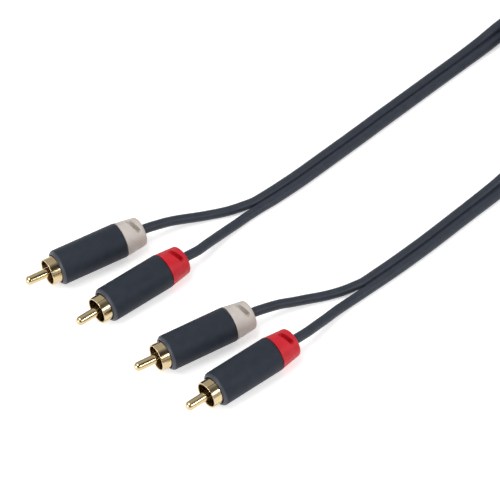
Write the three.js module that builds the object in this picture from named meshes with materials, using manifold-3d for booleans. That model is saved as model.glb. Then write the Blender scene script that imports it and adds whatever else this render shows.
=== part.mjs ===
// A stereo audio cable: two screened leads joined side by side, with a white and a red phono plug
// at each end. It lies on a table, with the two pairs of plugs in front and the spare length coiled.
// Millimetres, +Z up, the table is z = 0. The origin is below the middle of the four plugs.

import * as THREE from "three";
import { mergeVertices } from "three/addons/utils/BufferGeometryUtils.js";
import Module from "manifold-3d";

const wasm = await Module();
wasm.setup();

// Clearance between two pieces that fit together
const FIT_GAP = 0.3;

// Corners nearer to each other than this are one corner
const MERGE_DISTANCE = 1e-4;

// Lead
const LEAD_DIAMETER = 3.4;
const WEB_WIDTH = 0.15;
const CORE_DIAMETER = 0.7;
const CORE_INSULATION_DIAMETER = 2.0;
const SHIELD_TAIL_DIAMETER = 0.9;
const STRAIGHT_BEHIND_COLLAR = 2.0;
const LEAD_SECTION_SPACING = 6.8;

// Plug, along its own axis from the sleeve's front face (0) towards the lead
const PIN_DIAMETER = 3.2;
const PIN_REACH = 11.5;
const PIN_DOME = 1.4;
const PIN_SHOULDER = 6.0;
const SOLDER_CUP_DIAMETER = 2.6;
const SOLDER_CUP_LENGTH = 4.0;
const SOLDER_CUP_HOLE_DIAMETER = 1.6;
const SOLDER_CUP_HOLE_DEPTH = 3.0;

const SHELL_DIAMETER = 9.3;
const SHELL_WALL = 0.5;
const SHELL_REACH = 3.3;
const SHELL_BARREL_END = 5.0;
const SHELL_BASE_THICKNESS = 1.2;
const SHELL_TAIL_DIAMETER = 6.4;
const SHELL_TAIL_LENGTH = 3.0;
const SHELL_SLOT_WIDTH = 0.4;
const SHELL_SLOT_LENGTH = 6.8;
const SOLDER_TAB_WIDTH = 1.6;
const SOLDER_TAB_LENGTH = 3.8;
const SOLDER_TAB_THICKNESS = 0.4;

const INSULATOR_DISC_THICKNESS = 1.2;
const INSULATOR_STEM_DIAMETER = 5.0;
const INSULATOR_STEM_LENGTH = 4.3;

const SLEEVE_WALL = 1.2;
const SLEEVE_LENGTH = 24.3;
const SLEEVE_FRONT_BEVEL = 0.8;

const MOULD_WALL_REAR = 3.5;
const MOULD_LENGTH = 13.9;
const JACKET_INSET = 0.1;

// The collar's outside lies this far below the sleeve's, and narrows by the taper to its end
const COLLAR_STEP = 0.1;
const COLLAR_TAPER = 0.85;
const COLLAR_LENGTH = 8.0;
const COLLAR_END_ROUND = 1.0;
const COLLAR_SLOT_CENTRE = 5.0;
const COLLAR_SLOT_WIDTH = 1.6;
const COLLAR_SLOT_FLOOR_WALL = 1.2;
const COLLAR_SLOT_HALF_ANGLE = 22;

// Coil of the spare length: the two leads stand one above the other, in two layers
const TURN_PITCH = 3.5;
const COIL_OUTER_TURN_RADIUS = 43.0;
const COIL_WHOLE_TURNS = 4;
const COIL_ENTRY_ANGLE = 133.5;
const COIL_EXIT_ANGLE = -90;
const LAYER_GAP = 0.1;
const COIL_CENTRE = [168.6, 120.6];
const TIE_THICKNESS = 0.5;
const TIE_WIDTH = 6.0;
const TIE_ANGLES = [25, 205];

// Facets round each kind of piece
const OUTER_FACETS = 24;
const INNER_FACETS = 16;
const WIRE_FACETS = 8;
const COIL_FACETS = 48;
const DOME_STEPS = 4;
const ROUND_STEPS = 2;

// Where each plug lies: the centre of its sleeve's front face, the way its lead leaves, how far it
// is rolled about its own axis, and how far its ground shell is turned in the sleeve, in degrees
const PLUGS = {
  white_a: { at: [-35.7, 19.4], heading: 30.7, roll: -8, shellTurn: 52, colour: "white" },
  red_a: { at: [-19.0, 3.2], heading: 38.5, roll: -8, shellTurn: 0, colour: "red" },
  white_b: { at: [1.3, -17.1], heading: 31.1, roll: -8, shellTurn: 52, colour: "white" },
  red_b: { at: [17.6, -32.2], heading: 38.6, roll: -8, shellTurn: 0, colour: "red" },
};

// Centre lines of the split legs, from just outside each plug to where the two leads join
const LEGS = {
  white_a: [
    [-2.2, 39.1, 5.6], [2.1, 41.5, 4.6], [6.8, 43.6, 3.4], [11.6, 45.3, 2.5],
    [16.3, 46.9, 1.9], [20.8, 48.3, 1.7], [24.5, 49.7, 1.7], [27.7, 51.2, 1.7],
  ],
  red_a: [
    [11.8, 27.8, 5.6], [14.8, 31.4, 4.7], [18.1, 35.4, 3.5], [21.5, 39.3, 2.5],
    [24.9, 42.8, 1.9], [28.3, 46.1, 1.7],
  ],
  white_b: [
    [34.6, 2.8, 5.6], [39.0, 5.2, 4.6], [43.6, 7.2, 3.4], [48.3, 9.1, 2.5],
    [53.1, 10.7, 1.9], [57.4, 12.2, 1.7], [61.1, 13.7, 1.7], [64.3, 15.4, 1.7],
  ],
  red_b: [
    [48.1, -7.5, 5.6], [51.2, -4.0, 4.7], [54.6, 0.0, 3.5], [58.0, 4.0, 2.5],
    [61.4, 7.4, 1.9], [64.8, 10.4, 1.7],
  ],
};

// Middle line of the joined leads, from the split to the coil. The last number is the lean in
// degrees: at 0 the leads lie side by side, at 90 the white one stands on the red one.
const PAIRS = {
  a: [
    [31.7, 51.3, 1.7, 0], [36.2, 54.8, 1.7, 0], [41.3, 59.1, 1.7, 0], [46.5, 63.7, 1.7, 0],
    [55.9, 72.6, 1.7, 0], [65.5, 81.7, 1.7, 0], [74.9, 90.8, 1.7, 0], [84.3, 99.8, 1.7, 0],
    [94.0, 109.1, 1.7, 0], [103.7, 118.3, 1.8, 2], [111.9, 126.0, 2.2, 12],
    [118.7, 132.5, 3.1, 42], [125.7, 139.2, 4.1, 74],
  ],
  b: [
    [68.2, 15.6, 1.7, 0], [72.7, 19.4, 1.7, 0], [77.8, 23.8, 1.7, 0], [83.0, 28.5, 1.7, 0],
    [88.2, 33.3, 1.7, 0], [93.8, 38.7, 1.7, 0], [99.1, 43.9, 1.7, 0], [104.5, 49.1, 1.8, 2],
    [113.4, 57.4, 2.4, 14], [120.6, 64.0, 3.9, 36], [128.0, 69.8, 6.2, 60],
    [135.9, 74.2, 8.6, 78], [143.6, 76.7, 10.5, 87], [150.5, 77.5, 11.2, 90],
  ],
};

const degrees = Math.PI / 180;

// Sizes that follow from the ones above
const leadRadius = LEAD_DIAMETER / 2;
const leadBore = leadRadius + FIT_GAP;
const pairPitch = LEAD_DIAMETER + WEB_WIDTH;
const shellRadius = SHELL_DIAMETER / 2;
const shellBore = shellRadius - SHELL_WALL;
const shellBaseEnd = SHELL_BARREL_END + SHELL_BASE_THICKNESS;
const shellTailEnd = shellBaseEnd + SHELL_TAIL_LENGTH;
const insulatorStemRadius = INSULATOR_STEM_DIAMETER / 2;
const shellTailBore = insulatorStemRadius + FIT_GAP;
const insulatorDiscEnd = SHELL_BARREL_END - FIT_GAP;
const insulatorFront = insulatorDiscEnd - INSULATOR_DISC_THICKNESS;
const insulatorEnd = insulatorDiscEnd + INSULATOR_STEM_LENGTH;
const solderCupEnd = PIN_SHOULDER + SOLDER_CUP_LENGTH;
const sleeveBore = shellRadius + FIT_GAP;
const sleeveRadius = sleeveBore + SLEEVE_WALL;
const collarRadius = sleeveRadius - COLLAR_STEP;
const collarEndRadius = collarRadius - COLLAR_TAPER;
const slotFloorRadius = leadBore + COLLAR_SLOT_FLOOR_WALL;
const mouldFront = shellBaseEnd + FIT_GAP;
const mouldEnd = mouldFront + MOULD_LENGTH;
const mouldCavityEnd = mouldEnd - MOULD_WALL_REAR;
const jacketStart = mouldCavityEnd + JACKET_INSET;
const strippedStart = solderCupEnd + FIT_GAP;
const strippedEnd = jacketStart - FIT_GAP;
const collarFront = SLEEVE_LENGTH + FIT_GAP;
const collarEnd = collarFront + COLLAR_LENGTH;
const collarStemStart = mouldEnd + FIT_GAP;
const layerHeight = LEAD_DIAMETER + pairPitch + LAYER_GAP;
const coilBase = TIE_THICKNESS + FIT_GAP;
const coilHeight = 2 * layerHeight - LAYER_GAP;
const coilTurns = COIL_WHOLE_TURNS + (COIL_ENTRY_ANGLE - COIL_EXIT_ANGLE) / 360;
const coilInnerTurnRadius = COIL_OUTER_TURN_RADIUS - (TURN_PITCH * coilTurns) / 2;

function material(colour, roughness, metalness) {
  return new THREE.MeshStandardMaterial({ color: colour, roughness, metalness });
}

const MATERIALS = {
  slate: material(0x31353f, 0.55, 0),
  white: material(0xd9cfc8, 0.5, 0),
  red: material(0xcb2733, 0.45, 0),
  gold: material(0xcaa869, 0.22, 1),
  black: material(0x1b1a1c, 0.5, 0),
  natural: material(0xe4e2da, 0.6, 0),
  copper: material(0xb8703c, 0.35, 1),
  jacket: material(0x30343d, 0.5, 0),
  strap: material(0x141416, 0.9, 0),
};

function toSolid(geometry) {
  const bare = geometry.clone();
  bare.deleteAttribute("normal");
  bare.deleteAttribute("uv");
  const merged = mergeVertices(bare, MERGE_DISTANCE);
  return new wasm.Manifold(
    new wasm.Mesh({
      numProp: 3,
      vertProperties: merged.attributes.position.array,
      triVerts: new Uint32Array(merged.index.array),
    }),
  );
}

function toGeometry(solid) {
  const { vertProperties, triVerts } = solid.getMesh();
  const geometry = new THREE.BufferGeometry();
  geometry.setAttribute("position", new THREE.Float32BufferAttribute(vertProperties, 3));
  geometry.setIndex(Array.from(triVerts));
  geometry.computeVertexNormals();
  return geometry;
}

// A body of revolution about X. Its profile is [x, radius] points, with the material on the left:
// the outside from front to back, then the bore from back to front.
function turned(profile, facets) {
  const points = profile.map(([x, radius]) => new THREE.Vector2(radius, x));
  return new THREE.LatheGeometry(points, facets).rotateZ(-Math.PI / 2);
}

// The same, for a profile that doesn't touch the axis
function turnedRing(profile, facets) {
  return turned([...profile, profile[0]], facets);
}

function named(name, geometry, look) {
  const mesh = new THREE.Mesh(geometry, look);
  mesh.name = name;
  return mesh;
}

function centrePin() {
  const radius = PIN_DIAMETER / 2;
  const cupRadius = SOLDER_CUP_DIAMETER / 2;
  const holeRadius = SOLDER_CUP_HOLE_DIAMETER / 2;
  const holeBottom = solderCupEnd - SOLDER_CUP_HOLE_DEPTH;
  const dome = Array.from({ length: DOME_STEPS + 1 }, (_, i) => {
    const angle = (i / DOME_STEPS) * (Math.PI / 2);
    return [-PIN_REACH + PIN_DOME * (1 - Math.cos(angle)), i ? radius * Math.sin(angle) : 0];
  });
  return turned(
    [
      ...dome,
      [PIN_SHOULDER, radius],
      [PIN_SHOULDER, cupRadius],
      [solderCupEnd, cupRadius],
      [solderCupEnd, holeRadius],
      [holeBottom, holeRadius],
      [holeBottom, 0],
    ],
    INNER_FACETS,
  );
}

function groundShell(turn) {
  const tailRadius = SHELL_TAIL_DIAMETER / 2;
  const body = toSolid(
    turnedRing(
      [
        [-SHELL_REACH, shellRadius],
        [shellBaseEnd, shellRadius],
        [shellBaseEnd, tailRadius],
        [shellTailEnd, tailRadius],
        [shellTailEnd, shellTailBore],
        [SHELL_BARREL_END, shellTailBore],
        [SHELL_BARREL_END, shellBore],
        [-SHELL_REACH, shellBore],
      ],
      OUTER_FACETS,
    ),
  );
  // The tab starts inside the tail's wall, so that the two are one piece
  const tabRoot = shellTailEnd - SOLDER_TAB_THICKNESS;
  const tabTop = shellTailBore + SOLDER_TAB_THICKNESS / 2;
  const tab = new THREE.BoxGeometry(SOLDER_TAB_LENGTH, SOLDER_TAB_WIDTH, SOLDER_TAB_THICKNESS);
  tab.translate(tabRoot + SOLDER_TAB_LENGTH / 2, 0, tabTop - SOLDER_TAB_THICKNESS / 2);
  let shell = body.add(toSolid(tab));
  // Each cutter is centred on the shell's front edge, so that half of it lies in the shell
  for (const angle of [turn, turn + 90]) {
    const slot = new THREE.BoxGeometry(2 * SHELL_SLOT_LENGTH, SHELL_SLOT_WIDTH, 2 * SHELL_DIAMETER);
    slot.translate(-SHELL_REACH, 0, 0).rotateX(angle * degrees);
    shell = shell.subtract(toSolid(slot));
  }
  return toGeometry(shell);
}

function insulator() {
  const discRadius = shellBore - FIT_GAP;
  const bore = PIN_DIAMETER / 2 + FIT_GAP;
  return turnedRing(
    [
      [insulatorFront, discRadius],
      [insulatorDiscEnd, discRadius],
      [insulatorDiscEnd, insulatorStemRadius],
      [insulatorEnd, insulatorStemRadius],
      [insulatorEnd, bore],
      [insulatorFront, bore],
    ],
    INNER_FACETS,
  );
}

function innerMould() {
  const radius = sleeveBore - FIT_GAP;
  const cavityRadius = SHELL_TAIL_DIAMETER / 2 + FIT_GAP;
  return turnedRing(
    [
      [mouldFront, radius],
      [mouldEnd, radius],
      [mouldEnd, leadBore],
      [mouldCavityEnd, leadBore],
      [mouldCavityEnd, cavityRadius],
      [mouldFront, cavityRadius],
    ],
    INNER_FACETS,
  );
}

function sleeve() {
  return turnedRing(
    [
      [0, sleeveRadius - SLEEVE_FRONT_BEVEL],
      [SLEEVE_FRONT_BEVEL, sleeveRadius],
      [SLEEVE_LENGTH, sleeveRadius],
      [SLEEVE_LENGTH, sleeveBore],
      [0, sleeveBore],
    ],
    OUTER_FACETS,
  );
}

// The body that cuts one relief slot: a flat sector with round ends, in the plane across the axis
function slotCutter() {
  const reach = 2 * collarRadius;
  const half = COLLAR_SLOT_HALF_ANGLE * degrees;
  const endRadius = COLLAR_SLOT_WIDTH / 2;
  const sector = new THREE.Shape();
  sector.absarc(0, 0, reach, -half, half, false);
  sector.absarc(0, 0, slotFloorRadius, half, -half, true);
  const plate = new THREE.ExtrudeGeometry(sector, {
    depth: COLLAR_SLOT_WIDTH,
    bevelEnabled: false,
    curveSegments: WIRE_FACETS,
  });
  plate.translate(0, 0, -endRadius);
  let cutter = toSolid(plate);
  for (const angle of [-half, half]) {
    const end = new THREE.CylinderGeometry(endRadius, endRadius, reach, WIRE_FACETS);
    end.rotateZ(-Math.PI / 2).translate(slotFloorRadius + reach / 2, 0, 0);
    cutter = cutter.add(toSolid(end.rotateZ(angle)));
  }
  // From the drawing plane to the plug's: the sector's middle line points up, its depth along X
  const standing = toGeometry(cutter).rotateY(-Math.PI / 2);
  return standing.translate(collarFront + COLLAR_SLOT_CENTRE, 0, 0);
}

function collar() {
  const rimCentreX = collarEnd - COLLAR_END_ROUND;
  const rimCentreRadius = collarEndRadius - COLLAR_END_ROUND;
  const rim = Array.from({ length: ROUND_STEPS + 1 }, (_, i) => {
    const angle = (i / ROUND_STEPS) * (Math.PI / 2);
    return [
      rimCentreX + COLLAR_END_ROUND * Math.sin(angle),
      rimCentreRadius + COLLAR_END_ROUND * Math.cos(angle),
    ];
  });
  const body = turnedRing(
    [
      [collarStemStart, sleeveBore - FIT_GAP],
      [collarFront, sleeveBore - FIT_GAP],
      [collarFront, collarRadius],
      ...rim,
      [collarEnd, leadBore],
      [collarStemStart, leadBore],
    ],
    OUTER_FACETS,
  );
  let cut = toSolid(body);
  for (const turn of [0, Math.PI]) {
    cut = cut.subtract(toSolid(slotCutter().rotateX(turn)));
  }
  return toGeometry(cut);
}

function coreWire() {
  const radius = CORE_DIAMETER / 2;
  const start = solderCupEnd - SOLDER_CUP_HOLE_DEPTH + FIT_GAP;
  return turned(
    [
      [start, 0],
      [start, radius],
      [strippedEnd, radius],
      [strippedEnd, 0],
    ],
    WIRE_FACETS,
  );
}

function coreInsulation() {
  const radius = CORE_INSULATION_DIAMETER / 2;
  const bore = CORE_DIAMETER / 2 + FIT_GAP;
  return turnedRing(
    [
      [strippedStart, radius],
      [strippedEnd, radius],
      [strippedEnd, bore],
      [strippedStart, bore],
    ],
    INNER_FACETS,
  );
}

// The screen's wires, twisted together and laid under the shell's solder tab
function shieldTail() {
  const radius = SHIELD_TAIL_DIAMETER / 2;
  const tabUnderside = shellTailBore - SOLDER_TAB_THICKNESS / 2;
  const height = tabUnderside - FIT_GAP - radius;
  const wire = turned(
    [
      [strippedStart, 0],
      [strippedStart, radius],
      [strippedEnd, radius],
      [strippedEnd, 0],
    ],
    WIRE_FACETS,
  );
  return wire.translate(0, 0, height);
}

function plug(key, { at, heading, roll, shellTurn, colour }) {
  const place = new THREE.Group();
  place.position.set(at[0], at[1], sleeveRadius);
  place.rotation.z = heading * degrees;
  const body = new THREE.Group();
  body.rotation.x = -roll * degrees;
  place.add(body);
  body.add(
    named(`centre_pin_${key}`, centrePin(), MATERIALS.gold),
    named(`ground_shell_${key}`, groundShell(shellTurn), MATERIALS.gold),
    named(`insulator_${key}`, insulator(), MATERIALS.black),
    named(`inner_mould_${key}`, innerMould(), MATERIALS.natural),
    named(`sleeve_${key}`, sleeve(), MATERIALS.slate),
    named(`collar_${key}`, collar(), MATERIALS[colour]),
    named(`core_wire_${key}`, coreWire(), MATERIALS.copper),
    named(`core_insulation_${key}`, coreInsulation(), MATERIALS.natural),
    named(`shield_tail_${key}`, shieldTail(), MATERIALS.copper),
  );
  return place;
}

// A point on a plug's axis, at the height at which the plug lies
function onPlugAxis({ at, heading }, x) {
  const angle = heading * degrees;
  return new THREE.Vector3(
    at[0] + x * Math.cos(angle),
    at[1] + x * Math.sin(angle),
    sleeveRadius,
  );
}

// One lead's centre line beside the pair's middle line; side is +1 for white and -1 for red
function besideMiddle(middle, side) {
  return middle.map(([x, y, z, lean], i) => {
    const before = middle[Math.max(i - 1, 0)];
    const after = middle[Math.min(i + 1, middle.length - 1)];
    const heading = Math.atan2(after[1] - before[1], after[0] - before[0]);
    const across = (side * pairPitch * Math.cos(lean * degrees)) / 2;
    const up = (side * pairPitch * Math.sin(lean * degrees)) / 2;
    return new THREE.Vector3(
      x - across * Math.sin(heading),
      y + across * Math.cos(heading),
      z + up,
    );
  });
}

function leadRoute(key) {
  const [colour, end] = key.split("_");
  const straightEnd = collarEnd + STRAIGHT_BEHIND_COLLAR;
  const straight = [jacketStart, (jacketStart + collarEnd) / 2, collarEnd, straightEnd];
  return [
    ...straight.map((x) => onPlugAxis(PLUGS[key], x)),
    ...LEGS[key].map(([x, y, z]) => new THREE.Vector3(x, y, z)),
    ...besideMiddle(PAIRS[end], colour === "white" ? 1 : -1),
  ];
}

// An eight-sided tube with flats above, below and at both sides
function lead(key) {
  const section = new THREE.Shape(
    Array.from({ length: WIRE_FACETS }, (_, i) => {
      const angle = ((i + 0.5) / WIRE_FACETS) * 2 * Math.PI;
      return new THREE.Vector2(leadRadius * Math.cos(angle), leadRadius * Math.sin(angle));
    }),
  );
  const route = new THREE.CatmullRomCurve3(leadRoute(key), false, "centripetal");
  const steps = Math.ceil(route.getLength() / LEAD_SECTION_SPACING);
  const tube = new THREE.ExtrudeGeometry(section, {
    steps,
    extrudePath: route,
    bevelEnabled: false,
  });
  return named(`lead_${key}`, tube, MATERIALS.jacket);
}

function coil() {
  const outer = COIL_OUTER_TURN_RADIUS + leadRadius;
  const inner = coilInnerTurnRadius - leadRadius;
  const top = coilBase + coilHeight;
  const profile = [
    [inner, coilBase],
    [outer, coilBase],
    [outer, top],
    [inner, top],
    [inner, coilBase],
  ];
  const points = profile.map(([radius, z]) => new THREE.Vector2(radius, z));
  const ring = new THREE.LatheGeometry(points, COIL_FACETS).rotateX(Math.PI / 2);
  const mesh = named("coiled_leads", ring, MATERIALS.jacket);
  mesh.position.set(COIL_CENTRE[0], COIL_CENTRE[1], 0);
  return mesh;
}

function rectangle(shape, width, height) {
  shape.moveTo(-width / 2, -height / 2);
  shape.lineTo(width / 2, -height / 2);
  shape.lineTo(width / 2, height / 2);
  shape.lineTo(-width / 2, height / 2);
  shape.closePath();
  return shape;
}

// A strap round the coil's section, standing on the table
function tie(angle, number) {
  const innerWidth = LEAD_DIAMETER + COIL_OUTER_TURN_RADIUS - coilInnerTurnRadius + 2 * FIT_GAP;
  const innerHeight = coilHeight + 2 * FIT_GAP;
  const band = rectangle(
    new THREE.Shape(),
    innerWidth + 2 * TIE_THICKNESS,
    innerHeight + 2 * TIE_THICKNESS,
  );
  band.holes.push(rectangle(new THREE.Path(), innerWidth, innerHeight));
  const strap = new THREE.ExtrudeGeometry(band, { depth: TIE_WIDTH, bevelEnabled: false });
  strap.translate(0, 0, -TIE_WIDTH / 2).rotateX(Math.PI / 2);
  const mesh = named(`tie_${number}`, strap, MATERIALS.strap);
  const middle = (COIL_OUTER_TURN_RADIUS + coilInnerTurnRadius) / 2;
  mesh.position.set(
    COIL_CENTRE[0] + middle * Math.cos(angle * degrees),
    COIL_CENTRE[1] + middle * Math.sin(angle * degrees),
    coilBase + coilHeight / 2,
  );
  mesh.rotation.z = angle * degrees;
  return mesh;
}

const cable = new THREE.Group();
for (const [key, place] of Object.entries(PLUGS)) {
  cable.add(plug(key, place), lead(key));
}
cable.add(coil());
TIE_ANGLES.forEach((angle, i) => cable.add(tie(angle, i + 1)));

export default cable;
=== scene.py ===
"""A stereo audio cable on a pale table: two white and two red phono plugs, leads and a coil.

Metres, +Z up, the table is z = 0. Lengths along a plug start at its sleeve's front face.
"""

import math

import bpy
from mathutils import Matrix, Vector


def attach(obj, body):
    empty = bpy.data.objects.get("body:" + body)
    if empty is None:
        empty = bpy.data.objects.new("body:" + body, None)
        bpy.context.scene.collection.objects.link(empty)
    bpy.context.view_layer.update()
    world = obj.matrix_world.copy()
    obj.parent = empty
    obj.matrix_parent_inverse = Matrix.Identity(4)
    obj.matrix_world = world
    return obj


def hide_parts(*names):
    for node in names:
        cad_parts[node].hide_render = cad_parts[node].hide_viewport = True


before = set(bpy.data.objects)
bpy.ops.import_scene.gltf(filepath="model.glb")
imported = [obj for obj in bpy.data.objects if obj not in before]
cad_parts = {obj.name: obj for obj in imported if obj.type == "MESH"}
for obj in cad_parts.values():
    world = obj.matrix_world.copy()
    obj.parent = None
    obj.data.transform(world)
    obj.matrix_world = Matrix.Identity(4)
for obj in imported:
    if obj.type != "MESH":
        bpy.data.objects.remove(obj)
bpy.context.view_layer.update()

MM = 0.001

# Sizes of the model
FIT_GAP = 0.3 * MM
LEAD_RADIUS = 1.7 * MM
WEB_WIDTH = 0.15 * MM
WEB_IN_LEAD = 0.25 * MM
WEB_HALF_HEIGHT = 0.5 * MM
PAIR_PITCH = 2 * LEAD_RADIUS + WEB_WIDTH
STRAIGHT_BEHIND_COLLAR = 2.0 * MM

PIN_RADIUS = 1.6 * MM
PIN_REACH = 11.5 * MM
PIN_DOME = 1.4 * MM
PIN_END = 6.0 * MM
CUP_RADIUS = 1.3 * MM
CUP_END = 10.0 * MM
CUP_HOLE_RADIUS = 0.8 * MM
CUP_HOLE_START = 7.0 * MM

SHELL_RADIUS = 4.65 * MM
SHELL_BORE = 4.15 * MM
SHELL_REACH = 3.3 * MM
SHELL_BARREL_END = 5.0 * MM
SHELL_BASE_END = 6.2 * MM
SHELL_TAIL_RADIUS = 3.2 * MM
SHELL_TAIL_BORE = 2.8 * MM
SHELL_TAIL_END = 9.2 * MM
SHELL_SLOT_WIDTH = 0.2 * MM
SHELL_LOWER_SLOT_WIDTH = 0.06 * MM
SHELL_SLOT_LENGTH = 6.8 * MM
SHELL_LIP_ROUND = 0.12 * MM
SOLDER_TAB = (3.8 * MM, 1.6 * MM, 0.4 * MM)

INSULATOR_FRONT = 3.5 * MM
INSULATOR_DISC_RADIUS = 3.85 * MM
INSULATOR_DISC_END = 4.7 * MM
INSULATOR_STEM_RADIUS = 2.5 * MM
INSULATOR_END = 9.0 * MM
INSULATOR_BOSS = 0.5 * MM
INSULATOR_EDGE_ROUND = 0.15 * MM

SLEEVE_RADIUS = 6.15 * MM
SLEEVE_BORE = 4.95 * MM
SLEEVE_LENGTH = 24.3 * MM
SLEEVE_FRONT_BEVEL = 0.8 * MM
SLEEVE_BEVEL_ROUND = 0.35 * MM
SLEEVE_MOUTH_ROUND = 0.1 * MM
SLEEVE_BACK_ROUND = 0.15 * MM

JACKET_START = 17.0 * MM
COLLAR_STEM_START = 20.7 * MM
COLLAR_FRONT = 24.6 * MM
COLLAR_END = 32.6 * MM
COLLAR_RADIUS = 6.05 * MM
COLLAR_END_RADIUS = 5.2 * MM
COLLAR_END_ROUND = 1.0 * MM
COLLAR_SLOT_CENTRE = COLLAR_FRONT + 4.9 * MM
COLLAR_SLOT_WIDTH = 1.5 * MM
COLLAR_SLOT_FLOOR = 2.8 * MM
COLLAR_SLOT_HALF_ANGLE = math.radians(22)
COLLAR_SLOT_SLANT = 0.29
COLLAR_SLOT_EDGE = 0.12 * MM

# Degrees. A shell's slot that is further than UNDERSIDE_FROM from the top faces the table
PLUG_ROLL = -8
UNDERSIDE_FROM = 135
PLUGS = {
    "white_a": {"at": (-0.0357, 0.0194), "heading": 30.7, "shell_turn": 52},
    "red_a": {"at": (-0.0190, 0.0032), "heading": 38.5, "shell_turn": 0},
    "white_b": {"at": (0.0013, -0.0171), "heading": 31.1, "shell_turn": 52},
    "red_b": {"at": (0.0176, -0.0322), "heading": 38.6, "shell_turn": 0},
}

# Centre lines of the split legs, from just outside each plug to where the two leads join
LEGS = {
    "white_a": [
        (-0.0022, 0.0391, 0.0056), (0.0021, 0.0415, 0.0046), (0.0068, 0.0436, 0.0034),
        (0.0116, 0.0453, 0.0025), (0.0163, 0.0469, 0.0019), (0.0208, 0.0483, 0.0017),
        (0.0245, 0.0497, 0.0017), (0.0277, 0.0512, 0.0017),
    ],
    "red_a": [
        (0.0118, 0.0278, 0.0056), (0.0148, 0.0314, 0.0047), (0.0181, 0.0354, 0.0035),
        (0.0215, 0.0393, 0.0025), (0.0249, 0.0428, 0.0019), (0.0283, 0.0461, 0.0017),
    ],
    "white_b": [
        (0.0346, 0.0028, 0.0056), (0.0390, 0.0052, 0.0046), (0.0436, 0.0072, 0.0034),
        (0.0483, 0.0091, 0.0025), (0.0531, 0.0107, 0.0019), (0.0574, 0.0122, 0.0017),
        (0.0611, 0.0137, 0.0017), (0.0643, 0.0154, 0.0017),
    ],
    "red_b": [
        (0.0481, -0.0075, 0.0056), (0.0512, -0.0040, 0.0047), (0.0546, 0.0000, 0.0035),
        (0.0580, 0.0040, 0.0025), (0.0614, 0.0074, 0.0019), (0.0648, 0.0104, 0.0017),
    ],
}

# Middle line of the joined leads, from the split to the coil. The last number is the lean in
# degrees: at 0 the leads lie side by side, at 90 the white one stands on the red one.
PAIRS = {
    "a": [
        (0.0317, 0.0513, 0.0017, 0), (0.0362, 0.0548, 0.0017, 0), (0.0413, 0.0591, 0.0017, 0),
        (0.0465, 0.0637, 0.0017, 0), (0.0559, 0.0726, 0.0017, 0), (0.0655, 0.0817, 0.0017, 0),
        (0.0749, 0.0908, 0.0017, 0), (0.0843, 0.0998, 0.0017, 0), (0.0940, 0.1091, 0.0017, 0),
        (0.1037, 0.1183, 0.0018, 2), (0.1119, 0.1260, 0.0022, 12), (0.1187, 0.1325, 0.0031, 42),
        (0.1257, 0.1392, 0.0041, 74),
    ],
    "b": [
        (0.0682, 0.0156, 0.0017, 0), (0.0727, 0.0194, 0.0017, 0), (0.0778, 0.0238, 0.0017, 0),
        (0.0830, 0.0285, 0.0017, 0), (0.0882, 0.0333, 0.0017, 0), (0.0938, 0.0387, 0.0017, 0),
        (0.0991, 0.0439, 0.0017, 0), (0.1045, 0.0491, 0.0018, 2), (0.1134, 0.0574, 0.0024, 14),
        (0.1206, 0.0640, 0.0039, 36), (0.1280, 0.0698, 0.0062, 60), (0.1359, 0.0742, 0.0086, 78),
        (0.1436, 0.0767, 0.0105, 87), (0.1505, 0.0775, 0.0112, 90),
    ],
}

TURN_PITCH = 3.5 * MM
COIL_OUTER_TURN_RADIUS = 43.0 * MM
COIL_ENTRY_ANGLE = 133.5
COIL_EXIT_ANGLE = -90
COIL_TURNS = 4 + (COIL_ENTRY_ANGLE - COIL_EXIT_ANGLE) / 360
COIL_POINTS_PER_TURN = 24
CLIMB_TURNS = 0.2
COIL_INNER_TURN_RADIUS = COIL_OUTER_TURN_RADIUS - TURN_PITCH * COIL_TURNS / 2
LAYER_GAP = 0.1 * MM
LAYER_HEIGHT = 2 * LEAD_RADIUS + PAIR_PITCH + LAYER_GAP
COIL_BASE = 0.8 * MM
COIL_TOP = COIL_BASE + 2 * LAYER_HEIGHT - LAYER_GAP
COIL_CENTRE = Vector((0.1686, 0.1206, 0))
TIE_WIDTH = 6.0 * MM
TIE_ANGLES = (25, 205)
TIE_THICKNESS = COIL_BASE
TIE_CORNER_STEPS = 6

# How finely the round shapes are cut
STEPS_PER_SPAN = 8
LEAD_ROUNDNESS = 8
EDGE_STEPS = 4
PIN_FACETS = 48
PIN_DOME_STEPS = 12
SHELL_FACETS = 72
INSULATOR_FACETS = 48
SLEEVE_FACETS = 96
COLLAR_FACETS = 192
COLLAR_STEP = 0.12 * MM
COLLAR_RIM_STEPS = 8
SMOOTH_BELOW = math.radians(35)


# Camera

VIEW_TARGET = Vector((0.0293, 0.0327, 0))
VIEW_DISTANCE = 1.2
VIEW_ELEVATION = math.radians(50)
FRAME_PIXELS = 500
FOCAL_PIXELS = 3540
SENSOR_WIDTH_MM = 36
CLIP_RATIO = 20


def add_camera():
    data = bpy.data.cameras.new("camera")
    data.sensor_width = SENSOR_WIDTH_MM
    data.lens = SENSOR_WIDTH_MM * FOCAL_PIXELS / FRAME_PIXELS
    data.clip_start = VIEW_DISTANCE / CLIP_RATIO
    data.clip_end = VIEW_DISTANCE * CLIP_RATIO
    camera = bpy.data.objects.new("camera", data)
    back = Vector((0, -math.cos(VIEW_ELEVATION), math.sin(VIEW_ELEVATION)))
    camera.location = VIEW_TARGET + VIEW_DISTANCE * back
    camera.rotation_euler = (-back).to_track_quat("-Z", "Y").to_euler()
    bpy.context.collection.objects.link(camera)
    bpy.context.scene.camera = camera


add_camera()


# Materials

# Nearly all of the noise lies between these
NOISE_LOW = 0.3
NOISE_HIGH = 0.7

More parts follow.
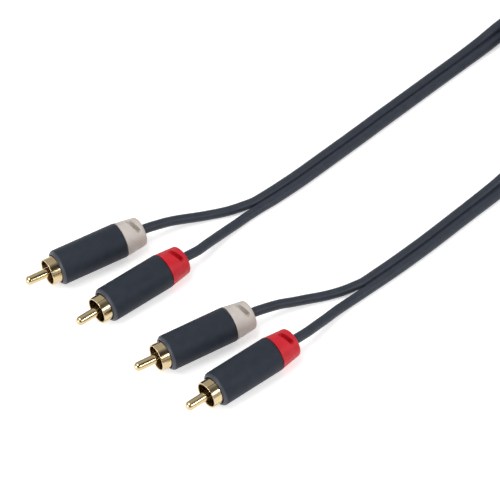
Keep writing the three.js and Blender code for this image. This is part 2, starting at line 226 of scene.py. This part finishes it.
BUMP_STRENGTH = 0.5
PLASTIC_CLOUD = 3 * MM
PLASTIC_CLOUD_DETAIL = 4
PLASTIC_GRAIN = 0.18 * MM
PLASTIC_GRAIN_DEPTH = 0.02 * MM
PLASTIC_ROUGHNESS_SWING = 0.05
METAL_CLOUD = 8 * MM
METAL_ROUGHNESS_SHARE = 0.05
STRAP_LOOP = 0.45 * MM
STRAP_LOOP_DEPTH = 0.15 * MM


class Nodes:
    """A material's node tree, with a short way to add a node and set its inputs."""

    def __init__(self, name):
        self.material = bpy.data.materials.new(name)
        self.material.use_nodes = True
        self.tree = self.material.node_tree
        self.shader = self.tree.nodes["Principled BSDF"]
        self.place = self.add("ShaderNodeTexCoord").outputs["Object"]

    def add(self, kind, **inputs):
        node = self.tree.nodes.new(kind)
        for key, value in inputs.items():
            self.join(value, node.inputs[key.replace("_", " ")])
        return node

    def join(self, value, socket):
        if isinstance(value, bpy.types.NodeSocket):
            self.tree.links.new(value, socket)
        else:
            socket.default_value = value

    def noise(self, size, detail=2):
        """Noise with spots about as big as size, in metres."""
        node = self.add("ShaderNodeTexNoise", Vector=self.place, Scale=1 / size, Detail=detail)
        return node.outputs["Fac"]

    def between(self, factor, low, high):
        """A number that goes from low to high as the noise does."""
        node = self.add(
            "ShaderNodeMapRange",
            Value=factor,
            From_Min=NOISE_LOW,
            From_Max=NOISE_HIGH,
            To_Min=low,
            To_Max=high,
        )
        return node.outputs["Result"]

    def tones(self, factor, dark, light):
        ramp = self.add("ShaderNodeValToRGB", Fac=factor)
        first, last = ramp.color_ramp.elements
        first.position, first.color = NOISE_LOW, (*dark, 1)
        last.position, last.color = NOISE_HIGH, (*light, 1)
        return ramp.outputs["Color"]

    def bump(self, height, depth):
        node = self.add("ShaderNodeBump", Height=height, Distance=depth, Strength=BUMP_STRENGTH)
        return node.outputs["Normal"]

    def finish(self, **inputs):
        for key, value in inputs.items():
            self.join(value, self.shader.inputs[key.replace("_", " ")])
        return self.material


def moulded(name, dark, light, roughness, gloss=0.5):
    """Moulded plastic: faint cloudy tones and a fine grain that breaks up the shine."""
    nodes = Nodes(name)
    cloud = nodes.noise(PLASTIC_CLOUD, PLASTIC_CLOUD_DETAIL)
    grain = nodes.noise(PLASTIC_GRAIN)
    swing = PLASTIC_ROUGHNESS_SWING
    return nodes.finish(
        Base_Color=nodes.tones(cloud, dark, light),
        Roughness=nodes.between(grain, roughness - swing, roughness + swing),
        Normal=nodes.bump(grain, PLASTIC_GRAIN_DEPTH),
        Specular_IOR_Level=gloss,
    )


def metal(name, dark, light, roughness):
    """Plated or bare metal: slight cloudiness in the tone and polish."""
    nodes = Nodes(name)
    cloud = nodes.noise(METAL_CLOUD)
    swing = METAL_ROUGHNESS_SHARE * roughness
    return nodes.finish(
        Base_Color=nodes.tones(cloud, dark, light),
        Metallic=1.0,
        Roughness=nodes.between(cloud, roughness - swing, roughness + swing),
    )


def woven(name, dark, light):
    """Strap: small loops all over it."""
    nodes = Nodes(name)
    loops = nodes.add("ShaderNodeTexVoronoi", Vector=nodes.place, Scale=1 / STRAP_LOOP)
    height = loops.outputs["Distance"]
    return nodes.finish(
        Base_Color=nodes.tones(height, light, dark),
        Roughness=0.9,
        Normal=nodes.bump(height, STRAP_LOOP_DEPTH),
        Sheen_Weight=0.3,
    )


SLATE = moulded("slate_sleeve", (0.023, 0.028, 0.040), (0.028, 0.034, 0.047), 0.55, gloss=0.15)
# A lighter copy of the sleeve's plastic for its front face and bevel: a painted highlight of the
# light that catches them
SLATE_FRONT_PAINTED_HIGHLIGHT = moulded(
    "slate_sleeve_front_painted_highlight", (0.040, 0.043, 0.058), (0.050, 0.054, 0.070), 0.4, gloss=0.3
)
JACKET = moulded("slate_jacket", (0.026, 0.032, 0.046), (0.034, 0.041, 0.058), 0.45, gloss=0.3)
WHITE = moulded("white_plastic", (0.58, 0.53, 0.48), (0.65, 0.60, 0.55), 0.5, gloss=0.3)
RED = moulded("red_plastic", (0.56, 0.012, 0.022), (0.66, 0.020, 0.034), 0.45, gloss=0.3)
BLACK = moulded("dark_plastic", (0.010, 0.007, 0.006), (0.017, 0.012, 0.010), 0.5)
NATURAL = moulded("natural_plastic", (0.68, 0.66, 0.60), (0.76, 0.74, 0.70), 0.55)
GOLD = metal("gold_plating", (0.57, 0.45, 0.26), (0.63, 0.50, 0.30), 0.16)
COPPER = metal("copper_wire", (0.52, 0.22, 0.10), (0.64, 0.30, 0.15), 0.35)
STRAP = woven("woven_strap", (0.008, 0.008, 0.009), (0.022, 0.022, 0.024))


# Cords


def smooth_step(low, high, value):
    """0 below low, 1 above high, and an even bend between them."""
    t = min(max((value - low) / (high - low), 0), 1)
    return t * t * (3 - 2 * t)


def through(points, per_span):
    """A smooth line through the points, with per_span steps between two of them."""
    ends = [2 * points[0] - points[1], *points, 2 * points[-1] - points[-2]]
    line = []
    for before, start, stop, after in zip(ends, ends[1:], ends[2:], ends[3:]):
        first = math.sqrt((start - before).length)
        span = math.sqrt((stop - start).length)
        last = math.sqrt((after - stop).length)
        chord = stop - start
        leaving = (start - before) / first - (stop - before) / (first + span) + chord / span
        arriving = chord / span - (after - start) / (span + last) + (after - stop) / last
        leaving *= span
        arriving *= span
        for step in range(per_span):
            t = step / per_span
            bend = 3 * chord - 2 * leaving - arriving
            twist = leaving + arriving - 2 * chord
            line.append(start + leaving * t + bend * t**2 + twist * t**3)
    return [*line, points[-1]]


def plug_matrix(key):
    """From a plug's own frame, with its axis along X, to the table."""
    place = PLUGS[key]
    standing = Matrix.Translation((*place["at"], SLEEVE_RADIUS))
    heading = Matrix.Rotation(math.radians(place["heading"]), 4, "Z")
    return standing @ heading @ Matrix.Rotation(math.radians(-PLUG_ROLL), 4, "X")


def on_plug_axis(key, x):
    return plug_matrix(key) @ Vector((x, 0, 0))


def beside_middle(middle, side):
    """One lead's line beside the pair's middle line. side is 1 for white and -1 for red."""
    line = []
    for i, (x, y, z, lean) in enumerate(middle):
        before = middle[max(i - 1, 0)]
        after = middle[min(i + 1, len(middle) - 1)]
        heading = math.atan2(after[1] - before[1], after[0] - before[0])
        across = side * PAIR_PITCH / 2 * math.cos(math.radians(lean))
        up = side * PAIR_PITCH / 2 * math.sin(math.radians(lean))
        offset = Vector((-across * math.sin(heading), across * math.cos(heading), up))
        line.append(Vector((x, y, z)) + offset)
    return line


def coil_line(side):
    """One lead in the coil: inwards in the lower layer, then outwards in the upper one."""
    steps = round(COIL_TURNS * COIL_POINTS_PER_TURN)
    low = COIL_BASE + LEAD_RADIUS + PAIR_PITCH / 2
    climb_start = (COIL_TURNS - CLIMB_TURNS) / 2
    line = []
    for i in range(steps + 1):
        turn = COIL_TURNS * i / steps
        angle = math.radians(COIL_ENTRY_ANGLE - 360 * turn)
        radius = COIL_OUTER_TURN_RADIUS - TURN_PITCH * min(turn, COIL_TURNS - turn)
        climbed = smooth_step(climb_start, climb_start + CLIMB_TURNS, turn)
        height = low + LAYER_HEIGHT * climbed + side * PAIR_PITCH / 2
        place = Vector((radius * math.cos(angle), radius * math.sin(angle), height))
        line.append(COIL_CENTRE + place)
    return line


def plug_end(colour, end):
    key = f"{colour}_{end}"
    straight_end = COLLAR_END + STRAIGHT_BEHIND_COLLAR
    straight = (JACKET_START, (JACKET_START + COLLAR_END) / 2, COLLAR_END, straight_end)
    return [*(on_plug_axis(key, x) for x in straight), *map(Vector, LEGS[key])]


def joined_stretch(side):
    return [
        *beside_middle(PAIRS["a"], side),
        *coil_line(side),
        *reversed(beside_middle(PAIRS["b"], side)),
    ]


def lead_line(colour, side):
    first = plug_end(colour, "a")
    last = list(reversed(plug_end(colour, "b")))
    return through([*first, *joined_stretch(side), *last], STEPS_PER_SPAN)


def add_piece(name, data, material, replaced):
    obj = bpy.data.objects.new(name, data)
    bpy.context.collection.objects.link(obj)
    data.materials.append(material)
    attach(obj, "root")
    if replaced:
        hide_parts(*replaced)
    return obj


def add_lead(colour, side):
    data = bpy.data.curves.new(f"{colour}_lead", "CURVE")
    data.dimensions = "3D"
    data.bevel_depth = LEAD_RADIUS
    data.bevel_resolution = LEAD_ROUNDNESS
    data.use_fill_caps = True
    line = lead_line(colour, side)
    spline = data.splines.new("POLY")
    spline.points.add(len(line) - 1)
    for point, place in zip(spline.points, line):
        point.co = (*place, 1)
    replaced = [f"lead_{colour}_a", f"lead_{colour}_b", "coiled_leads"]
    return add_piece(f"{colour}_lead", data, JACKET, replaced)


def smoothed(mesh):
    """The mesh, smooth all over but for the edges where its faces meet at a wide angle."""
    mesh.shade_smooth()
    mesh.set_sharp_from_angle(angle=SMOOTH_BELOW)
    return mesh


def mesh_of(name, corners, faces):
    mesh = bpy.data.meshes.new(name)
    mesh.from_pydata([tuple(c) for c in corners], [], faces)
    mesh.validate()
    return smoothed(mesh)


def swept(name, rings, endless=False):
    """A body through rings of corners. Its ends are capped, or joined where it is endless."""
    count = len(rings[0])
    corners = [corner for ring in rings for corner in ring]
    faces = []
    for i in range(len(rings) if endless else len(rings) - 1):
        here = i * count
        there = (i + 1) % len(rings) * count
        for j in range(count):
            k = (j + 1) % count
            faces.append((here + j, here + k, there + k, there + j))
    if not endless:
        last = (len(rings) - 1) * count
        faces.append(tuple(reversed(range(count))))
        faces.append(tuple(range(last, last + count)))
    return mesh_of(name, corners, faces)


def add_web():
    """The thin web that joins the two leads' jackets, in the groove between them."""
    reach = WEB_WIDTH / 2 + WEB_IN_LEAD
    white = through(joined_stretch(1), STEPS_PER_SPAN)
    red = through(joined_stretch(-1), STEPS_PER_SPAN)
    rings = []
    for i in range(len(white)):
        middle = (white[i] + red[i]) / 2
        after = min(i + 1, len(white) - 1)
        before = max(i - 1, 0)
        along = white[after] + red[after] - white[before] - red[before]
        across = (white[i] - red[i]).normalized()
        up = along.cross(across).normalized()
        rings.append(
            [
                middle + reach * across + WEB_HALF_HEIGHT * up,
                middle - reach * across + WEB_HALF_HEIGHT * up,
                middle - reach * across - WEB_HALF_HEIGHT * up,
                middle + reach * across - WEB_HALF_HEIGHT * up,
            ]
        )
    return add_piece("web_between_leads", swept("web_between_leads", rings), JACKET, [])


def rounded_outline(width, height, corner):
    """Points round an upright rectangle with round corners, from its right side upwards."""
    places = []
    for turn, (sx, sz) in enumerate([(1, 1), (-1, 1), (-1, -1), (1, -1)]):
        cx = sx * (width / 2 - corner)
        cz = sz * (height / 2 - corner)
        for step in range(TIE_CORNER_STEPS + 1):
            angle = math.radians(90 * (turn + step / TIE_CORNER_STEPS))
            places.append((cx + corner * math.cos(angle), cz + corner * math.sin(angle)))
    return places


def add_tie(number, angle):
    """A strap wound tightly round the coil's section."""
    middle = (COIL_OUTER_TURN_RADIUS + COIL_INNER_TURN_RADIUS) / 2
    width = COIL_OUTER_TURN_RADIUS - COIL_INNER_TURN_RADIUS + 2 * LEAD_RADIUS
    height = COIL_TOP - COIL_BASE
    inner = rounded_outline(width, height, LEAD_RADIUS)
    outer = rounded_outline(
        width + 2 * TIE_THICKNESS, height + 2 * TIE_THICKNESS, LEAD_RADIUS + TIE_THICKNESS
    )
    on_coil = Matrix.Translation((middle, 0, COIL_BASE + height / 2))
    round_coil = Matrix.Rotation(math.radians(angle), 4, "Z")
    place = Matrix.Translation(COIL_CENTRE) @ round_coil @ on_coil
    edge = TIE_WIDTH / 2
    rings = []
    for (ix, iz), (ox, oz) in zip(inner, outer):
        rings.append(
            [
                place @ Vector((ix, -edge, iz)),
                place @ Vector((ox, -edge, oz)),
                place @ Vector((ox, edge, oz)),
                place @ Vector((ix, edge, iz)),
            ]
        )
    name = f"strap_{number}"
    mesh = swept(name, rings, endless=True)
    return add_piece(name, mesh, STRAP, [f"tie_{number}"])


white_lead = add_lead("white", 1)
red_lead = add_lead("red", -1)
web = add_web()
straps = [add_tie(i + 1, angle) for i, angle in enumerate(TIE_ANGLES)]


# Plugs


def rounded(corners):
    """An outline of (x, radius, size) corners, each turned into a bend of that size."""
    outline = []
    for i, (x, r, size) in enumerate(corners):
        corner = Vector((x, r))
        if not size:
            outline.append(corner)
            continue
        before = (Vector(corners[i - 1][:2]) - corner).normalized() * size
        after = (Vector(corners[(i + 1) % len(corners)][:2]) - corner).normalized() * size
        for step in range(EDGE_STEPS + 1):
            t = step / EDGE_STEPS
            outline.append(corner + before * (1 - t) ** 2 + after * t**2)
    return outline


def turned(name, outline, facets, dent=None):
    """A body of revolution about X. dent(x, radius, angle) gives the radius where it is dented."""
    corners, starts = [], []
    for x, radius in outline:
        starts.append(len(corners))
        if radius == 0:
            corners.append((x, 0, 0))
            continue
        for j in range(facets):
            angle = 2 * math.pi * j / facets
            here = dent(x, radius, angle) if dent else radius
            corners.append((x, here * math.sin(angle), here * math.cos(angle)))
    closed = outline[0][1] > 0 and outline[-1][1] > 0
    faces = []
    for i in range(len(outline) if closed else len(outline) - 1):
        k = (i + 1) % len(outline)
        a, b = starts[i], starts[k]
        for j in range(facets):
            n = (j + 1) % facets
            if outline[i][1] == 0:
                faces.append((a, b + j, b + n))
            elif outline[k][1] == 0:
                faces.append((a + j, b, a + n))
            else:
                faces.append((a + j, b + j, b + n, a + n))
    return mesh_of(name, corners, faces)


def worked(mesh, added, cutters):
    """A mesh with the added shapes joined to it and the cutters' shapes taken out."""
    obj = bpy.data.objects.new("workpiece", mesh)
    bpy.context.collection.objects.link(obj)
    tools = []
    for operation, shapes in (("UNION", added), ("DIFFERENCE", cutters)):
        for shape in shapes:
            tool = bpy.data.objects.new("tool", shape)
            bpy.context.collection.objects.link(tool)
            modifier = obj.modifiers.new("work", "BOOLEAN")
            modifier.operation = operation
            modifier.object = tool
            tools.append(tool)
    depsgraph = bpy.context.evaluated_depsgraph_get()
    result = bpy.data.meshes.new_from_object(obj.evaluated_get(depsgraph))
    for used in (obj, *tools):
        bpy.data.objects.remove(used)
    return smoothed(result)


def block(name, low, high):
    """A box between two corners."""
    ring = [(low.y, low.z), (high.y, low.z), (high.y, high.z), (low.y, high.z)]
    return swept(name, [[Vector((x, y, z)) for y, z in ring] for x in (low.x, high.x)])


def centre_pin():
    dome = []
    for i in range(PIN_DOME_STEPS + 1):
        angle = i / PIN_DOME_STEPS * math.pi / 2
        x = -PIN_REACH + PIN_DOME * (1 - math.cos(angle))
        dome.append((x, PIN_RADIUS * math.sin(angle) if i else 0))
    cup = [
        (PIN_END, PIN_RADIUS),
        (PIN_END, CUP_RADIUS),
        (CUP_END, CUP_RADIUS),
        (CUP_END, CUP_HOLE_RADIUS),
        (CUP_HOLE_START, CUP_HOLE_RADIUS),
        (CUP_HOLE_START, 0),
    ]
    return turned("pin", [*dome, *cup], PIN_FACETS)


def ground_shell(turn):
    outline = [
        (-SHELL_REACH, SHELL_RADIUS, SHELL_LIP_ROUND),
        (SHELL_BASE_END, SHELL_RADIUS, 0),
        (SHELL_BASE_END, SHELL_TAIL_RADIUS, 0),
        (SHELL_TAIL_END, SHELL_TAIL_RADIUS, 0),
        (SHELL_TAIL_END, SHELL_TAIL_BORE, 0),
        (SHELL_BARREL_END, SHELL_TAIL_BORE, 0),
        (SHELL_BARREL_END, SHELL_BORE, 0),
        (-SHELL_REACH, SHELL_BORE, SHELL_LIP_ROUND),
    ]
    body = turned("shell", rounded(outline), SHELL_FACETS)
    tab_length, tab_width, tab_thickness = SOLDER_TAB
    # The tab starts inside the tail's wall, so that the two are one piece
    root = SHELL_TAIL_END - tab_thickness
    top = SHELL_TAIL_BORE + tab_thickness / 2
    tab = block(
        "tab",
        Vector((root, -tab_width / 2, top - tab_thickness)),
        Vector((root + tab_length, tab_width / 2, top)),
    )
    slots = []
    for angle in range(turn, turn + 360, 90):
        # The white table would shine through a wide slot on the underside
        from_top = abs((angle - PLUG_ROLL + 180) % 360 - 180)
        on_underside = from_top > UNDERSIDE_FROM
        half_width = (SHELL_LOWER_SLOT_WIDTH if on_underside else SHELL_SLOT_WIDTH) / 2
        low = Vector((-SHELL_REACH - SHELL_SLOT_LENGTH, -half_width, 0))
        high = Vector((SHELL_SLOT_LENGTH - SHELL_REACH, half_width, 2 * SHELL_RADIUS))
        slot = block("slot", low, high)
        slot.transform(Matrix.Rotation(math.radians(angle), 4, "X"))
        slots.append(slot)
    return worked(body, [tab], slots)


def insulator():
    bore = PIN_RADIUS
    boss_front = INSULATOR_FRONT - INSULATOR_BOSS
    boss_radius = bore + 2 * INSULATOR_BOSS
    edge = INSULATOR_EDGE_ROUND
    outline = [
        (INSULATOR_FRONT, INSULATOR_DISC_RADIUS, edge),
        (INSULATOR_DISC_END, INSULATOR_DISC_RADIUS, 0),
        (INSULATOR_DISC_END, INSULATOR_STEM_RADIUS, 0),
        (INSULATOR_END, INSULATOR_STEM_RADIUS, 0),
        (INSULATOR_END, bore, 0),
        (boss_front, bore, edge),
        (boss_front, boss_radius, edge),
        (INSULATOR_FRONT, boss_radius, edge),
    ]
    return turned("insulator", rounded(outline), INSULATOR_FACETS)


def sleeve():
    """The faces of the front and its bevel have the second material, a lighter copy of the
    sleeve's plastic that paints the highlight where light catches them.
    """
    outline = [
        (0, SLEEVE_BORE, SLEEVE_MOUTH_ROUND),
        (0, SLEEVE_RADIUS - SLEEVE_FRONT_BEVEL, SLEEVE_BEVEL_ROUND),
        (SLEEVE_FRONT_BEVEL, SLEEVE_RADIUS, SLEEVE_BEVEL_ROUND),
        (SLEEVE_LENGTH, SLEEVE_RADIUS, SLEEVE_BACK_ROUND),
        (SLEEVE_LENGTH, SLEEVE_BORE, 0),
    ]
    mesh = turned("sleeve", rounded(outline), SLEEVE_FACETS)
    for face in mesh.polygons:
        face.material_index = int(face.center.x < SLEEVE_FRONT_BEVEL)
    return mesh


def slot_dent(x, radius, angle):
    """The two slanted relief slots in the collar: deep, with round ends and soft edges."""
    if radius < COLLAR_SLOT_FLOOR:
        return radius
    half_width = COLLAR_SLOT_WIDTH / 2
    dented = radius
    for middle in (0, math.pi):
        turn = (angle - middle + math.pi) % (2 * math.pi) - math.pi
        along_slot = min(max(turn, -COLLAR_SLOT_HALF_ANGLE), COLLAR_SLOT_HALF_ANGLE)
        slot_x = COLLAR_SLOT_CENTRE - COLLAR_SLOT_SLANT * along_slot * radius
        off = math.hypot(x - slot_x, (turn - along_slot) * radius)
        depth = 1 - smooth_step(half_width - COLLAR_SLOT_EDGE, half_width + COLLAR_SLOT_EDGE, off)
        dented = min(dented, radius + (COLLAR_SLOT_FLOOR - radius) * depth)
    return dented


def collar():
    """The outside is cut into many short steps along X, so that the slots have clean edges."""
    body = COLLAR_END - COLLAR_END_ROUND - COLLAR_FRONT
    count = round(body / COLLAR_STEP)
    stem_radius = SLEEVE_BORE - FIT_GAP
    bore = LEAD_RADIUS + FIT_GAP
    outside = []
    for i in range(count + 1):
        share = i / count
        narrowing = (COLLAR_RADIUS - COLLAR_END_RADIUS) * share
        outside.append((COLLAR_FRONT + body * share, COLLAR_RADIUS - narrowing))
    for i in range(1, COLLAR_RIM_STEPS + 1):
        angle = i / COLLAR_RIM_STEPS * math.pi / 2
        x = COLLAR_END - COLLAR_END_ROUND * (1 - math.sin(angle))
        radius = COLLAR_END_RADIUS - COLLAR_END_ROUND * (1 - math.cos(angle))
        outside.append((x, radius))
    stem = [
        (COLLAR_STEM_START, bore),
        (COLLAR_STEM_START, stem_radius),
        (COLLAR_FRONT, stem_radius),
    ]
    outline = [*stem, *outside, (COLLAR_END, bore)]
    return turned("collar", outline, COLLAR_FACETS, slot_dent)


def add_plug(key):
    colour = key.split("_")[0]
    pieces = {
        "centre_pin": (centre_pin(), GOLD, "contact"),
        "ground_shell": (ground_shell(PLUGS[key]["shell_turn"]), GOLD, "contact"),
        "insulator": (insulator(), BLACK, "insulator"),
        "sleeve": (sleeve(), SLATE, "sleeve"),
        "collar": (collar(), WHITE if colour == "white" else RED, f"{colour}_collar"),
    }
    for part, (mesh, material, slot) in pieces.items():
        mesh.transform(plug_matrix(key))
        mesh.name = f"fine_{part}_{key}"
        add_piece(mesh.name, mesh, material, [f"{part}_{key}"])
        if part == "sleeve":
            # The second material paints the highlight on the sleeve's front face and bevel
            mesh.materials.append(SLATE_FRONT_PAINTED_HIGHLIGHT)
    for part, material in (
        ("inner_mould", NATURAL),
        ("core_insulation", NATURAL),
        ("core_wire", COPPER),
        ("shield_tail", COPPER),
    ):
        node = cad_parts[f"{part}_{key}"]
        node.data.materials.clear()
        node.data.materials.append(material)


for plug_key in PLUGS:
    add_plug(plug_key)


# Table and light

FLOOR_SIZE = 6.0
FLOOR_DARK = (0.92, 0.92, 0.92)
FLOOR_LIGHT = (0.94, 0.94, 0.94)
FLOOR_CLOUD = 0.2
FLOOR_LIFT = 0.5
SOFT_LIGHT = 0.3
REFLECTED_LEVEL = 0.6
WHITE_LIGHT = (1, 1, 1, 1)

# The studio is dark in this direction, which shows in reflections only
DARK_DIRECTION = Vector((0.05, -0.5, 0.85)).normalized()
DARK_LEVEL = 0.03
DARK_WITHIN = math.radians(26)
DARK_FADES_OUT_AT = math.radians(50)


def seen_directly(tree):
    """1 for what the camera and reflections see, and 0 for the light that falls on things."""
    path = tree.nodes.new("ShaderNodeLightPath")
    seen = path.outputs["Is Camera Ray"]
    for ray in ("Is Glossy Ray", "Is Transmission Ray"):
        either = tree.nodes.new("ShaderNodeMath")
        either.operation = "MAXIMUM"
        tree.links.new(seen, either.inputs[0])
        tree.links.new(path.outputs[ray], either.inputs[1])
        seen = either.outputs[0]
    return seen


def add_floor():
    half = FLOOR_SIZE / 2
    corners = [(-half, -half, 0), (half, -half, 0), (half, half, 0), (-half, half, 0)]
    mesh = mesh_of("floor", corners, [(0, 1, 2, 3)])
    nodes = Nodes("pale_table")
    tone = nodes.tones(nodes.noise(FLOOR_CLOUD), FLOOR_DARK, FLOOR_LIGHT)
    # The table looks white to the camera, and the light on the object stays soft
    lift = nodes.add("ShaderNodeMath", Value=seen_directly(nodes.tree))
    lift.operation = "MULTIPLY"
    lift.inputs[1].default_value = FLOOR_LIFT
    nodes.join(WHITE_LIGHT, nodes.shader.inputs["Emission Color"])
    nodes.join(lift.outputs[0], nodes.shader.inputs["Emission Strength"])
    mesh.materials.append(nodes.finish(Base_Color=tone, Roughness=0.8, Specular_IOR_Level=0.2))
    floor = bpy.data.objects.new("floor", mesh)
    bpy.context.collection.objects.link(floor)


def add_softbox(name, place, size, watts):
    data = bpy.data.lights.new(name, "AREA")
    data.shape = "RECTANGLE"
    data.size, data.size_y = size
    data.energy = watts
    light = bpy.data.objects.new(name, data)
    light.location = VIEW_TARGET + Vector(place)
    light.rotation_euler = (-Vector(place)).to_track_quat("-Z", "Y").to_euler()
    bpy.context.collection.objects.link(light)


def add_world():
    """White to the camera, pale with a dark patch in reflections, and a soft light on things."""
    world = bpy.data.worlds.new("studio")
    world.use_nodes = True
    tree = world.node_tree
    towards = tree.nodes.new("ShaderNodeVectorMath")
    towards.operation = "DOT_PRODUCT"
    tree.links.new(tree.nodes.new("ShaderNodeTexCoord").outputs["Generated"], towards.inputs[0])
    towards.inputs[1].default_value = DARK_DIRECTION
    patch = tree.nodes.new("ShaderNodeMapRange")
    tree.links.new(towards.outputs["Value"], patch.inputs["Value"])
    patch.inputs["From Min"].default_value = math.cos(DARK_FADES_OUT_AT)
    patch.inputs["From Max"].default_value = math.cos(DARK_WITHIN)
    patch.inputs["To Min"].default_value = REFLECTED_LEVEL
    patch.inputs["To Max"].default_value = DARK_LEVEL
    level = tree.nodes.new("ShaderNodeMix")
    tree.links.new(seen_directly(tree), level.inputs["Factor"])
    level.inputs["A"].default_value = SOFT_LIGHT
    tree.links.new(patch.outputs["Result"], level.inputs["B"])
    strength = tree.nodes.new("ShaderNodeMath")
    strength.operation = "MAXIMUM"
    tree.links.new(level.outputs["Result"], strength.inputs[0])
    camera_ray = tree.nodes.new("ShaderNodeLightPath").outputs["Is Camera Ray"]
    tree.links.new(camera_ray, strength.inputs[1])
    background = tree.nodes["Background"]
    background.inputs["Color"].default_value = WHITE_LIGHT
    tree.links.new(strength.outputs[0], background.inputs["Strength"])
    bpy.context.scene.world = world


bpy.context.scene.view_settings.view_transform = "Standard"
add_floor()
add_world()
add_softbox("key", place=(-0.3, -0.1, 0.8), size=(0.6, 0.5), watts=4.5)
add_softbox("fill", place=(0.55, -0.37, 0.5), size=(0.38, 0.16), watts=1.9)
add_softbox("front", place=(-0.75, -0.5, 0.15), size=(0.3, 0.2), watts=3)
